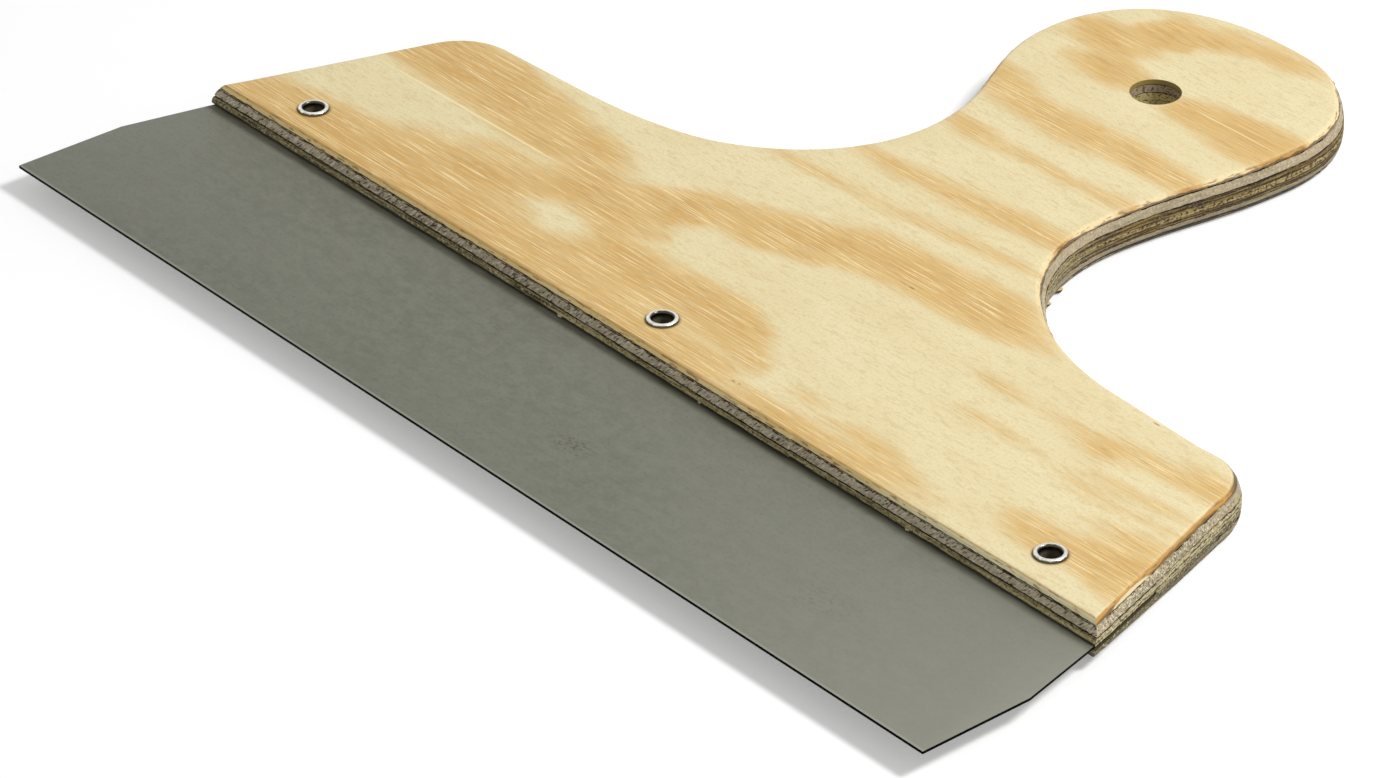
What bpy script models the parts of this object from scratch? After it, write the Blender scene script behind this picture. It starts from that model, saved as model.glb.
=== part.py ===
"""Filling knife: a sheet steel blade riveted into a saw kerf along the front of a plywood handle.

X runs along the blade, Y from the working edge towards the knob, Z up through the board.
The board lies on its underside at Z = 0, centred on the whole knife. Sizes are millimetres.
"""
import math

import bmesh
import bpy
from mathutils import Matrix, Vector
from mathutils.geometry import interpolate_bezier

MM = 0.001

# Blade
BLADE_WIDTH = 250.0
BLADE_REACH = 41.9
BLADE_PARALLEL_LENGTH = 23.5
BLADE_THICKNESS = 0.6
BLADE_OVERHANG = 3.3
TANG_DEPTH = 18.8
TANG_SIDE_INSET = 0.9

# Handle outline at the widest line of its rounded edge, heights stacked from the front edge back
SIDE_TAPER = 16.2
SHOULDER_HEIGHT = 52.5
SHOULDER_RADIUS = 13.6
REAR_EDGE_RISE = 1.6
REAR_EDGE_LEFT = 39.4
REAR_EDGE_RIGHT = 34.4
WAIST_HEIGHT = 37.9
NECK_LEFT = 22.2
NECK_RIGHT = 27.2
NECK_HEIGHT = 46.2
KNOB_WIDTH = 68.2
KNOB_OFFSET = -2.4
KNOB_CROWN_HEIGHT = 29.6
NECK_EASE = 0.427
KNOB_FULLNESS = 0.594
ELLIPSE_HANDLE = 0.5523

# Plywood
FACE_PLY = 1.1
INNER_PLY = 1.7
GLUE_LINE = 0.2
EDGE_CROWN = 1.7

# Hang hole
HANG_HOLE_DIAMETER = 10.0
HANG_HOLE_SETBACK = 33.7

# Hollow rivets
RIVET_BORE = 3.9
RIVET_WALL = 0.35
RIVET_RIM_DIAMETER = 6.04
RIVET_RIM_HEIGHT = 0.55
RIVET_CLINCH_DIAMETER = 5.9
RIVET_CLINCH_HEIGHT = 0.4
RIVET_END_DISTANCE = 20.9
RIVET_SETBACK = 8.9
MIDDLE_RIVET_SHIFT = 0.9

# Clearances
KERF_CLEARANCE = 0.15
KERF_END_CLEARANCE = 0.5
RIVET_CLEARANCE = 0.2
RIM_SEAT_GAP = 0.1
CLINCH_COVER = 0.1

# Facets
FILLET_STEPS = 6
WAIST_STEPS = 12
NECK_STEPS = 10
KNOB_STEPS = 10
HANG_HOLE_STEPS = 36
RIVET_STEPS = 24
RIM_STEPS = 5
CUT_OVERRUN = 5.0

# Derived sizes
FRONT_HALF_WIDTH = BLADE_WIDTH / 2 - BLADE_OVERHANG
SHOULDER_HALF_WIDTH = FRONT_HALF_WIDTH - SIDE_TAPER
REAR_EDGE_Y = SHOULDER_HEIGHT + REAR_EDGE_RISE
NECK_Y = REAR_EDGE_Y + WAIST_HEIGHT
KNOB_SIDE_Y = NECK_Y + NECK_HEIGHT
HANDLE_LENGTH = KNOB_SIDE_Y + KNOB_CROWN_HEIGHT
BOARD_THICKNESS = 2 * FACE_PLY + 4 * INNER_PLY
EDGE_RADIUS = (BOARD_THICKNESS ** 2 / 4 + EDGE_CROWN ** 2) / (2 * EDGE_CROWN)
MID_Z = BOARD_THICKNESS / 2
KERF_HEIGHT = BLADE_THICKNESS + 2 * KERF_CLEARANCE
KERF_DEPTH = TANG_DEPTH + KERF_END_CLEARANCE
HANG_HOLE_Y = HANDLE_LENGTH - HANG_HOLE_SETBACK
RIVET_TUBE_RADIUS = RIVET_BORE / 2 + RIVET_WALL
RIVET_HOLE_RADIUS = RIVET_TUBE_RADIUS + RIVET_CLEARANCE
RIVET_SPAN = FRONT_HALF_WIDTH - RIVET_END_DISTANCE
RIVET_X = {"left": -RIVET_SPAN, "middle": MIDDLE_RIVET_SHIFT, "right": RIVET_SPAN}
CLINCH_RECESS_RADIUS = RIVET_CLINCH_DIAMETER / 2 + RIVET_CLEARANCE
CLINCH_RECESS_DEPTH = CLINCH_COVER + RIVET_CLINCH_HEIGHT + RIM_SEAT_GAP
CENTRE_Y = (HANDLE_LENGTH - BLADE_REACH) / 2

# Ply stack from the underside up
PLIES = (
    ("bottom_face_veneer", FACE_PLY),
    ("lower_crossband", INNER_PLY),
    ("lower_core_ply", INNER_PLY),
    ("upper_core_ply", INNER_PLY),
    ("upper_crossband", INNER_PLY),
    ("top_face_veneer", FACE_PLY),
)


def material(name, colour, roughness, metallic=0.0):
    made = bpy.data.materials.new(name)
    made.use_nodes = True
    shader = made.node_tree.nodes["Principled BSDF"]
    shader.inputs["Base Color"].default_value = (*colour, 1.0)
    shader.inputs["Roughness"].default_value = roughness
    shader.inputs["Metallic"].default_value = metallic
    return made


def add_object(name, bm, parent, smooth_angle=35.0):
    """Turn a mesh drawn in millimetres into an object in metres."""
    bmesh.ops.scale(bm, vec=(MM, MM, MM), verts=bm.verts)
    mesh = bpy.data.meshes.new(name)
    bm.to_mesh(mesh)
    bm.free()
    mesh.shade_smooth()
    mesh.set_sharp_from_angle(angle=math.radians(smooth_angle))
    obj = bpy.data.objects.new(name, mesh)
    bpy.context.collection.objects.link(obj)
    obj.parent = parent
    return obj


def add_cutter(name, bm, parent):
    obj = add_object(name, bm, parent)
    obj.hide_render = True
    obj.display_type = "WIRE"
    return obj


def cut(obj, cutter):
    boolean = obj.modifiers.new("cut_" + cutter.name, "BOOLEAN")
    boolean.operation = "DIFFERENCE"
    boolean.solver = "EXACT"
    boolean.object = cutter


def bezier(start, start_handle, end_handle, end, steps):
    """Points after start, up to and including end."""
    knots = (Vector(knot).to_3d() for knot in (start, start_handle, end_handle, end))
    return [point.to_2d() for point in interpolate_bezier(*knots, steps + 1)][1:]


def fillet(corner, before, after, radius):
    """Arc of the given radius that rounds a corner between two straight edges."""
    back = (before - corner).normalized()
    ahead = (after - corner).normalized()
    half_angle = back.angle(ahead) / 2
    tangent = radius / math.tan(half_angle)
    centre = corner + (back + ahead).normalized() * radius / math.sin(half_angle)
    first = corner + back * tangent - centre
    turn = first.angle_signed(corner + ahead * tangent - centre)
    points = []
    for step in range(FILLET_STEPS + 1):
        spoke = Matrix.Rotation(-turn * step / FILLET_STEPS, 2) @ first
        points.append(centre + spoke)
    return points


def half_outline(side, rear_edge, neck):
    """One half of the handle from its front corner to the end of the knob; side is 1 or -1."""
    front = Vector((side * FRONT_HALF_WIDTH, 0.0))
    shoulder = Vector((side * SHOULDER_HALF_WIDTH, SHOULDER_HEIGHT))
    rear = Vector((side * (SHOULDER_HALF_WIDTH - rear_edge), REAR_EDGE_Y))
    waist = Vector((side * neck, NECK_Y))
    knob_side = Vector((KNOB_OFFSET + side * KNOB_WIDTH / 2, KNOB_SIDE_Y))
    knob_end = Vector((KNOB_OFFSET, HANDLE_LENGTH))
    along_rear = (rear - shoulder).normalized()
    waist_run = abs(rear.x - waist.x) * ELLIPSE_HANDLE
    waist_rise = Vector((0.0, WAIST_HEIGHT * ELLIPSE_HANDLE))
    neck_rise = Vector((0.0, NECK_HEIGHT * NECK_EASE))
    crown_rise = Vector((0.0, KNOB_CROWN_HEIGHT * KNOB_FULLNESS))
    crown_run = Vector((side * KNOB_WIDTH / 2 * KNOB_FULLNESS, 0.0))

    points = [front]
    points += fillet(shoulder, front, rear, SHOULDER_RADIUS)
    points.append(rear)
    points += bezier(rear, rear + along_rear * waist_run, waist - waist_rise, waist, WAIST_STEPS)
    points += bezier(waist, waist + neck_rise, knob_side - neck_rise, knob_side, NECK_STEPS)
    points += bezier(knob_side, knob_side + crown_rise, knob_end + crown_run, knob_end, KNOB_STEPS)
    return points


def handle_outline():
    """Closed outline, anticlockwise seen from above."""
    right = half_outline(1, REAR_EDGE_RIGHT, NECK_RIGHT)
    left = half_outline(-1, REAR_EDGE_LEFT, NECK_LEFT)
    return right + left[-2::-1]


def inset_outline(outline, distance):
    """Move every edge of an anticlockwise outline inwards by the same distance."""
    moved = []
    for index, here in enumerate(outline):
        edge_in = (here - outline[index - 1]).normalized()
        edge_out = (outline[(index + 1) % len(outline)] - here).normalized()
        normal_in = Vector((-edge_in.y, edge_in.x))
        normal_out = Vector((-edge_out.y, edge_out.x))
        moved.append(here + (normal_in + normal_out) * distance / (1 + normal_in.dot(normal_out)))
    return moved


def edge_inset(z):
    """How far the rounded edge of the board lies inside its widest line at height z."""
    drop = min(abs(z - MID_Z), EDGE_RADIUS)
    return EDGE_RADIUS - math.sqrt(EDGE_RADIUS ** 2 - drop ** 2)


def ply_mesh(outline, low, high):
    """Sheet between two heights whose edge follows the rounding of the whole board."""
    bm = bmesh.new()
    rings = []
    for z in (low, (low + high) / 2, high):
        ring = [bm.verts.new((point.x, point.y, z)) for point in inset_outline(outline, edge_inset(z))]
        rings.append(ring)
    bm.faces.new(reversed(rings[0]))
    bm.faces.new(rings[-1])
    for lower, upper in zip(rings, rings[1:]):
        edges = []
        for ring in (lower, upper):
            for index, vert in enumerate(ring):
                pair = (ring[index - 1], vert)
                edges.append(bm.edges.get(pair) or bm.edges.new(pair))
        bmesh.ops.bridge_loops(bm, edges=edges)
    bmesh.ops.recalc_face_normals(bm, faces=bm.faces)
    return bm


def cylinder(bm, centre, radius, low, high, steps):
    made = bmesh.ops.create_cone(bm, cap_ends=True, segments=steps, radius1=radius, radius2=radius,
                                 depth=high - low)
    bmesh.ops.translate(bm, verts=made["verts"], vec=(*centre, (low + high) / 2))


def box(bm, low, high):
    made = bmesh.ops.create_cube(bm, size=1.0)
    low = Vector(low)
    high = Vector(high)
    bmesh.ops.scale(bm, verts=made["verts"], vec=high - low)
    bmesh.ops.translate(bm, verts=made["verts"], vec=(low + high) / 2)


def rivet_places():
    return [(x, RIVET_SETBACK) for x in RIVET_X.values()]


def rivet_hole_cutter(parent):
    bm = bmesh.new()
    for place in rivet_places():
        cylinder(bm, place, RIVET_HOLE_RADIUS, -CUT_OVERRUN, BOARD_THICKNESS + CUT_OVERRUN, RIVET_STEPS)
    return add_cutter("rivet_hole_cutter", bm, parent)


def clinch_recess_cutter(parent):
    bm = bmesh.new()
    for place in rivet_places():
        cylinder(bm, place, CLINCH_RECESS_RADIUS, -CUT_OVERRUN, CLINCH_RECESS_DEPTH, RIVET_STEPS)
    return add_cutter("clinch_recess_cutter", bm, parent)


def hang_hole_cutter(parent):
    bm = bmesh.new()
    place = (KNOB_OFFSET, HANG_HOLE_Y)
    cylinder(bm, place, HANG_HOLE_DIAMETER / 2, -CUT_OVERRUN, BOARD_THICKNESS + CUT_OVERRUN, HANG_HOLE_STEPS)
    return add_cutter("hang_hole_cutter", bm, parent)


def kerf_cutter(parent):
    bm = bmesh.new()
    reach = FRONT_HALF_WIDTH + CUT_OVERRUN
    box(bm, (-reach, -CUT_OVERRUN, MID_Z - KERF_HEIGHT / 2), (reach, KERF_DEPTH, MID_Z + KERF_HEIGHT / 2))
    return add_cutter("kerf_cutter", bm, parent)


def make_handle(parent, rivet_holes, hang_hole, kerf, clinch_recess):
    """Six glued plies; each stands half a glue line clear of the ply above and below it."""
    outline = handle_outline()
    veneer = material("pine_face_veneer", (0.76, 0.56, 0.27), 0.6)
    crossband = material("crossband_end_grain", (0.30, 0.25, 0.20), 0.85)
    core = material("core_edge_grain", (0.27, 0.23, 0.12), 0.85)
    finish = {"veneer": veneer, "crossband": crossband, "ply": core}
    base = 0.0
    for name, thickness in PLIES:
        low = base + (GLUE_LINE / 2 if base > 0 else 0.0)
        base += thickness
        high = base - (GLUE_LINE / 2 if name != PLIES[-1][0] else 0.0)
        ply = add_object(name, ply_mesh(outline, low, high), parent)
        ply.data.materials.append(finish[name.rsplit("_", 1)[-1]])
        cut(ply, rivet_holes)
        cut(ply, hang_hole)
        if "core" in name:
            cut(ply, kerf)
        if name == PLIES[0][0]:
            cut(ply, clinch_recess)


def make_blade(parent, rivet_holes):
    """Flat steel sheet; its tang tapers with the sides of the handle and stays inside them."""
    tang_half = FRONT_HALF_WIDTH - TANG_SIDE_INSET
    tang_end_half = tang_half - SIDE_TAPER * TANG_DEPTH / SHOULDER_HEIGHT
    half_width = BLADE_WIDTH / 2
    right = (
        (half_width, -BLADE_REACH),
        (half_width, -BLADE_REACH + BLADE_PARALLEL_LENGTH),
        (tang_half, 0.0),
        (tang_end_half, TANG_DEPTH),
    )
    left = [(-x, y) for x, y in reversed(right)]
    bm = bmesh.new()
    underside = MID_Z - BLADE_THICKNESS / 2
    sheet = bm.faces.new([bm.verts.new((x, y, underside)) for x, y in (*right, *left)])
    raised = bmesh.ops.extrude_face_region(bm, geom=[sheet])
    top_verts = [item for item in raised["geom"] if isinstance(item, bmesh.types.BMVert)]
    bmesh.ops.translate(bm, verts=top_verts, vec=(0.0, 0.0, BLADE_THICKNESS))
    bmesh.ops.recalc_face_normals(bm, faces=bm.faces)
    blade = add_object("blade", bm, parent)
    blade.data.materials.append(material("rolled_spring_steel", (0.21, 0.21, 0.18), 0.45, 1.0))
    cut(blade, rivet_holes)


def rim_curve(outer_radius, seat, height):
    """Half round of a rolled rim, from the bore over its crown to the outer edge."""
    bore = RIVET_BORE / 2
    centre = (bore + outer_radius) / 2
    points = []
    for step in range(RIM_STEPS + 1):
        angle = math.pi * (1 - step / RIM_STEPS)
        radius = centre + (outer_radius - bore) / 2 * math.cos(angle)
        points.append((radius, seat + height * math.sin(angle)))
    return points


def make_rivets(parent):
    """Hollow rivets: a rolled rim on the face, a tube through board and blade, a sunk clinch below."""
    seat = BOARD_THICKNESS + RIM_SEAT_GAP
    clinch_seat = CLINCH_COVER + RIVET_CLINCH_HEIGHT
    profile = rim_curve(RIVET_RIM_DIAMETER / 2, seat, RIVET_RIM_HEIGHT)
    profile.append((RIVET_TUBE_RADIUS, seat))
    profile.append((RIVET_TUBE_RADIUS, clinch_seat))
    clinch = rim_curve(RIVET_CLINCH_DIAMETER / 2, clinch_seat, -RIVET_CLINCH_HEIGHT)
    profile += reversed(clinch)
    nickel = material("nickel_plated_steel", (0.62, 0.61, 0.58), 0.25, 1.0)
    for side, x in RIVET_X.items():
        bm = bmesh.new()
        verts = [bm.verts.new((radius, 0.0, z)) for radius, z in profile]
        edges = [bm.edges.new((verts[index - 1], vert)) for index, vert in enumerate(verts)]
        bmesh.ops.spin(bm, geom=verts + edges, cent=(0.0, 0.0, 0.0), axis=(0.0, 0.0, 1.0),
                       angle=2 * math.pi, steps=RIVET_STEPS, use_merge=True)
        bmesh.ops.recalc_face_normals(bm, faces=bm.faces)
        bmesh.ops.translate(bm, verts=bm.verts, vec=(x, RIVET_SETBACK, 0.0))
        rivet = add_object("rivet_" + side, bm, parent, smooth_angle=60.0)
        rivet.data.materials.append(nickel)


def main():
    for obj in list(bpy.data.objects):
        bpy.data.objects.remove(obj)
    knife = bpy.data.objects.new("filling_knife", None)
    bpy.context.collection.objects.link(knife)
    knife.location = (0.0, -CENTRE_Y * MM, 0.0)
    rivet_holes = rivet_hole_cutter(knife)
    make_handle(knife, rivet_holes, hang_hole_cutter(knife), kerf_cutter(knife), clinch_recess_cutter(knife))
    make_blade(knife, rivet_holes)
    make_rivets(knife)


main()
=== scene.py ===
import math

import bmesh
import bpy
from mathutils import Matrix, Vector, noise
from mathutils.geometry import interpolate_bezier


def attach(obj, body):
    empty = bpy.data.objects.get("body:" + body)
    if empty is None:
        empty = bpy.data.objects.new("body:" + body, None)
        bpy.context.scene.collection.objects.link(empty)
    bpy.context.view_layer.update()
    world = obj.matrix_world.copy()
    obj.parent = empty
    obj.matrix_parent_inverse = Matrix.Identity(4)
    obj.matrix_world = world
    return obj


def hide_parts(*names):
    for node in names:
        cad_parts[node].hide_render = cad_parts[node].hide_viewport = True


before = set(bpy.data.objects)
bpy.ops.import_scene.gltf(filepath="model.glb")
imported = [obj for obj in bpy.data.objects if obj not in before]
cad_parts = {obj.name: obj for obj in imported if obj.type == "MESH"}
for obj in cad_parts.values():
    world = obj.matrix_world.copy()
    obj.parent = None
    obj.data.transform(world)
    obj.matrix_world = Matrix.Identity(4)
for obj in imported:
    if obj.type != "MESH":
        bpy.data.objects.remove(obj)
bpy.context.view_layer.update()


# Core plies
# Two middle plies of pine with their grain along the blade, glued face to face. A saw kerf for the
# blade runs into the front of both. All plies share the outline that was sawn and rounded at once.
MM = 0.001
FRONT_Y = -62.95
FRONT_HALF_WIDTH = 121.7
SIDE_TAPER = 16.2
SHOULDER_Y = FRONT_Y + 52.5
SHOULDER_RADIUS = 13.6
REAR_EDGE_Y = SHOULDER_Y + 1.6
REAR_EDGE_LEFT = 39.4
REAR_EDGE_RIGHT = 34.4
NECK_Y = REAR_EDGE_Y + 37.9
NECK_LEFT = 22.2
NECK_RIGHT = 27.2
KNOB_SIDE_Y = NECK_Y + 46.2
KNOB_X = -2.4
KNOB_HALF_WIDTH = 34.1
KNOB_END_Y = KNOB_SIDE_Y + 29.6
ELLIPSE_HANDLE = 0.5523
NECK_EASE = 0.427
KNOB_FULLNESS = 0.594
BOARD_THICKNESS = 9.0
MID_Z = BOARD_THICKNESS / 2
CORE_TOP = 6.2
EDGE_CROWN = 1.7
EDGE_RADIUS = (MID_Z ** 2 + EDGE_CROWN ** 2) / (2 * EDGE_CROWN)
EDGE_STEP = 0.4
CURVE_STEPS = 40
FILLET_STEPS = 16
HANG_HOLE = (KNOB_X, KNOB_END_Y - 33.7)
HANG_HOLE_RADIUS = 5.0
HANG_HOLE_STEPS = 72
RIVET_Y = FRONT_Y + 8.9
RIVET_PLACES = {"left": (-100.8, RIVET_Y), "middle": (0.9, RIVET_Y), "right": (100.8, RIVET_Y)}
RIVET_HOLE_RADIUS = 2.5
RIVET_HOLE_STEPS = 32
KERF_BACK_Y = FRONT_Y + 19.3
KERF_HALF_HEIGHT = 0.45
ARRIS_HEIGHT = 0.09
RING_SPACING = 0.28
RIM_BAND = 4.2
# Wood sanded off the right side towards its front corner: flat over its height, round at its foot
FLATTENED = 0.3
FLATTENED_LENGTH = 18.0
ROUNDED = 0.95
ROUNDED_LENGTH = 27.0
# Places left fuller than the drawn outline: x, y, reach, and amount over the height and at the foot
FULLER = (
    (12.5, 101.5, 14.0, 0.9, 0.0),
    (26.5, 91.5, 13.0, 0.3, 0.2),
    (-58.0, -9.0, 16.0, 0.5, 0.0),
    (107.0, -20.0, 24.0, 0.0, 0.45),
    (103.5, -11.0, 12.0, 0.85, 0.0),
    (27.5, 20.5, 14.0, 0.0, 0.6),
)
# The front edge is planed out of true: back at the left, and forward at the kerf and to the right
PLANED_BACK = 0.17
PLANED_SKEW = 0.37
PLANED_TURN = 30.0
PLANED_REACH = 6.0
LIP_FORWARD = 0.25
LIP_SKEW = 0.4
# Waviness of the plies' edges where they meet the glue; the kerf and the faces stay level
WAVE_HEIGHT = 0.12
WAVE_LIMIT = 0.05
WAVE_LENGTH = 1.3
LEVEL_BELOW = 0.6
LEVEL_ABOVE = 3.9


def bezier(start, start_handle, end_handle, end):
    """Points after start, up to and including end."""
    knots = (knot.to_3d() for knot in (start, start_handle, end_handle, end))
    return [point.to_2d() for point in interpolate_bezier(*knots, CURVE_STEPS + 1)][1:]


def fillet(corner, before, after, radius):
    """Arc of the given radius that rounds a corner between two straight edges."""
    back = (before - corner).normalized()
    ahead = (after - corner).normalized()
    half_angle = back.angle(ahead) / 2
    centre = corner + (back + ahead).normalized() * radius / math.sin(half_angle)
    first = corner + back * radius / math.tan(half_angle) - centre
    turn = first.angle_signed(corner + ahead * radius / math.tan(half_angle) - centre)
    turns = [Matrix.Rotation(-turn * step / FILLET_STEPS, 2) for step in range(FILLET_STEPS + 1)]
    return [centre + rotation @ first for rotation in turns]


def half_outline(side, rear_edge, neck):
    """One half of the board from its front corner to the end of the knob; side is 1 or -1."""
    front = Vector((side * FRONT_HALF_WIDTH, FRONT_Y))
    shoulder = Vector((side * (FRONT_HALF_WIDTH - SIDE_TAPER), SHOULDER_Y))
    rear = Vector((shoulder.x - side * rear_edge, REAR_EDGE_Y))
    waist = Vector((side * neck, NECK_Y))
    knob_side = Vector((KNOB_X + side * KNOB_HALF_WIDTH, KNOB_SIDE_Y))
    knob_end = Vector((KNOB_X, KNOB_END_Y))
    kerf_end = front.lerp(shoulder, (KERF_BACK_Y - FRONT_Y) / (SHOULDER_Y - FRONT_Y))
    waist_run = (rear - shoulder).normalized() * abs(rear.x - waist.x) * ELLIPSE_HANDLE
    waist_rise = Vector((0.0, (NECK_Y - REAR_EDGE_Y) * ELLIPSE_HANDLE))
    neck_rise = Vector((0.0, (KNOB_SIDE_Y - NECK_Y) * NECK_EASE))
    crown_rise = Vector((0.0, (KNOB_END_Y - KNOB_SIDE_Y) * KNOB_FULLNESS))
    crown_run = Vector((side * KNOB_HALF_WIDTH * KNOB_FULLNESS, 0.0))
    points = [front, kerf_end]
    points += fillet(shoulder, front, rear, SHOULDER_RADIUS)
    points.append(rear)
    points += bezier(rear, rear + waist_run, waist - waist_rise, waist)
    points += bezier(waist, waist + neck_rise, knob_side - neck_rise, knob_side)
    points += bezier(knob_side, knob_side + crown_rise, knob_end + crown_run, knob_end)
    return points


def board_outline():
    """Close, even points of the widest line, each with its move for one millimetre of inset."""
    corners = half_outline(1, REAR_EDGE_RIGHT, NECK_RIGHT)
    corners += half_outline(-1, REAR_EDGE_LEFT, NECK_LEFT)[-2::-1]
    moves = []
    for index, here in enumerate(corners):
        edge_in = (here - corners[index - 1]).normalized()
        edge_out = (corners[(index + 1) % len(corners)] - here).normalized()
        normal_in = Vector((-edge_in.y, edge_in.x))
        normal_out = Vector((-edge_out.y, edge_out.x))
        moves.append((normal_in + normal_out) / (1 + normal_in.dot(normal_out)))
    rim = []
    for index, here in enumerate(corners):
        last = index - 1
        length = (here - corners[last]).length
        count = max(1, round(length / EDGE_STEP))
        for step in range(1, count + 1):
            share = step / count
            rim.append((corners[last].lerp(here, share), moves[last].lerp(moves[index], share)))
    return rim


OUTLINE = board_outline()


def edge_inset(z):
    """How far the rounded edge of the board lies inside its widest line at height z."""
    return EDGE_RADIUS - math.sqrt(EDGE_RADIUS ** 2 - (z - MID_Z) ** 2)


# Sizes of the tears along the grain, across it and upwards, and their shares
COARSE_TEAR = (9.0, 1.6, 0.9)
FINE_TEAR = (2.2, 0.8, 0.5)
COARSE_SHARE = 0.65
FINE_SHARE = 0.55
TORN_MEAN = 0.1


def torn(point, z, grain, depth):
    """Wood that saw and sander pulled out of the edge: pits across the grain and long tears along it."""
    along, across = (point.x, point.y) if grain == "X" else (point.y, point.x)
    coarse = noise.noise(Vector((along / COARSE_TEAR[0], across / COARSE_TEAR[1], z / COARSE_TEAR[2])))
    fine = noise.noise(Vector((along / FINE_TEAR[0], across / FINE_TEAR[1], z / FINE_TEAR[2])))
    return depth * max(0.0, COARSE_SHARE * coarse + FINE_SHARE * fine + TORN_MEAN)


def sanded(point, inward, z):
    """Extra sanding of the right side near its front corner, less what was left standing elsewhere."""
    height = (z - MID_Z) / MID_Z
    foot = max(0.0, -height)
    cut = 0.0
    for x, y, reach, amount, amount_at_foot in FULLER:
        share = max(0.0, 1 - ((point.x - x) ** 2 + (point.y - y) ** 2) / reach ** 2)
        cut -= share ** 2 * (amount + amount_at_foot * foot)
    if point.x > 0 and inward.x < -0.5 and point.y < FRONT_Y + ROUNDED_LENGTH:
        cut += FLATTENED * max(0.0, 1 - (point.y - FRONT_Y) / FLATTENED_LENGTH) * (1 - height ** 4)
        cut += ROUNDED * (1 - (point.y - FRONT_Y) / ROUNDED_LENGTH) * foot
    return cut


def planed(point, z):
    """How far the front edge lies behind a true straight line."""
    near = 1 - (point.y - FRONT_Y) / PLANED_REACH
    if near <= 0:
        return 0.0
    at_face = PLANED_BACK - PLANED_SKEW * math.tanh(point.x / PLANED_TURN)
    at_kerf = -LIP_FORWARD - LIP_SKEW * max(0.0, point.x / FRONT_HALF_WIDTH)
    share = min(1.0, abs(z - MID_Z) / (CORE_TOP - MID_Z))
    return near * (at_kerf + (at_face - at_kerf) * share)


def wave(point, z):
    """How far the edge of a ply is pressed up or down by its uneven neighbours."""
    if not LEVEL_BELOW < abs(z - MID_Z) < LEVEL_ABOVE:
        return 0.0
    lift = WAVE_HEIGHT * noise.noise(Vector((point.x, point.y, z)) / WAVE_LENGTH)
    return max(-WAVE_LIMIT, min(WAVE_LIMIT, lift))


def place_rim(verts, rim, z, cut):
    """Put one ring of vertices on the rounded edge at its height, less what is cut away there."""
    for vert in verts:
        vert.co.z = z
        if vert[rim]:
            point, inward = OUTLINE[vert[rim] - 1]
            vert.co.z += wave(point, z)
            vert.co.xy = point + inward * (edge_inset(z) + sanded(point, inward, z) + cut(point, z))
            vert.co.y += planed(point, z)


def ring_heights(low, high):
    """Heights of the rings of one ply, with a close pair at each arris."""
    count = max(2, round((high - low - 2 * ARRIS_HEIGHT) / RING_SPACING))
    first = low + ARRIS_HEIGHT
    spacing = (high - low - 2 * ARRIS_HEIGHT) / count
    return [low] + [first + spacing * step for step in range(count + 1)] + [high]


def outline_sheet(bm, rivet_hole, hang_hole=HANG_HOLE_RADIUS):
    """Flat sheet of the widest outline with its holes left open; returns the rim layer and the faces."""
    holes = [(HANG_HOLE, hang_hole, HANG_HOLE_STEPS)]
    holes += [(place, rivet_hole, RIVET_HOLE_STEPS) for place in RIVET_PLACES.values()]
    rim = bm.verts.layers.int.new("rim")
    ring = []
    for place, (point, _) in enumerate(OUTLINE):
        vert = bm.verts.new((*point, 0.0))
        vert[rim] = place + 1
        ring.append(vert)
    edges = [bm.edges.new((ring[index - 1], vert)) for index, vert in enumerate(ring)]
    band = bmesh.ops.extrude_edge_only(bm, edges=edges)["geom"]
    inner = [item for item in band if isinstance(item, bmesh.types.BMEdge)]
    for vert in {vert for edge in inner for vert in edge.verts}:
        point, inward = OUTLINE[vert[rim] - 1]
        vert.co.xy = point + inward * RIM_BAND
        vert[rim] = 0
    for centre, radius, steps in holes:
        spot = Matrix.Translation((*centre, 0.0))
        made = bmesh.ops.create_circle(bm, segments=steps, radius=radius, matrix=spot)
        inner += {edge for vert in made["verts"] for edge in vert.link_edges}
    bmesh.ops.triangle_fill(bm, use_beauty=True, edges=inner, normal=(0.0, 0.0, 1.0))
    return rim, bm.faces[:]


def raise_sheet(bm, sheet):
    """Pull a sheet off its old place; returns its new faces and vertices."""
    edges = {edge for face in sheet for edge in face.edges}
    verts = {vert for face in sheet for vert in face.verts}
    raised = bmesh.ops.extrude_face_region(bm, geom=[*sheet, *edges, *verts])["geom"]
    faces = [item for item in raised if isinstance(item, bmesh.types.BMFace)]
    return faces, [item for item in raised if isinstance(item, bmesh.types.BMVert)]


def ply_mesh(heights, cut, rivet_hole=RIVET_HOLE_RADIUS):
    """Sheet of the board's outline, raised ring by ring to follow the rounded edge."""
    bm = bmesh.new()
    rim, sheet = outline_sheet(bm, rivet_hole)
    place_rim(bm.verts, rim, heights[0], cut)
    for z in heights[1:]:
        sheet, verts = raise_sheet(bm, sheet)
        place_rim(verts, rim, z, cut)
    bmesh.ops.recalc_face_normals(bm, faces=bm.faces)
    return bm


def add_object(name, data):
    """Object in the scene for a mesh, a lamp or a camera."""
    made = bpy.data.objects.new(name, data)
    bpy.context.collection.objects.link(made)
    return made


def add_piece(name, bm, material, smooth_angle=40.0):
    """Turn a mesh drawn in millimetres into a piece of the knife in metres."""
    bmesh.ops.scale(bm, vec=(MM, MM, MM), verts=bm.verts)
    mesh = bpy.data.meshes.new(name)
    bm.to_mesh(mesh)
    bm.free()
    mesh.materials.append(material)
    mesh.shade_smooth()
    mesh.set_sharp_from_angle(angle=math.radians(smooth_angle))
    piece = add_object(name, mesh)
    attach(piece, "root")
    return piece


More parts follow.
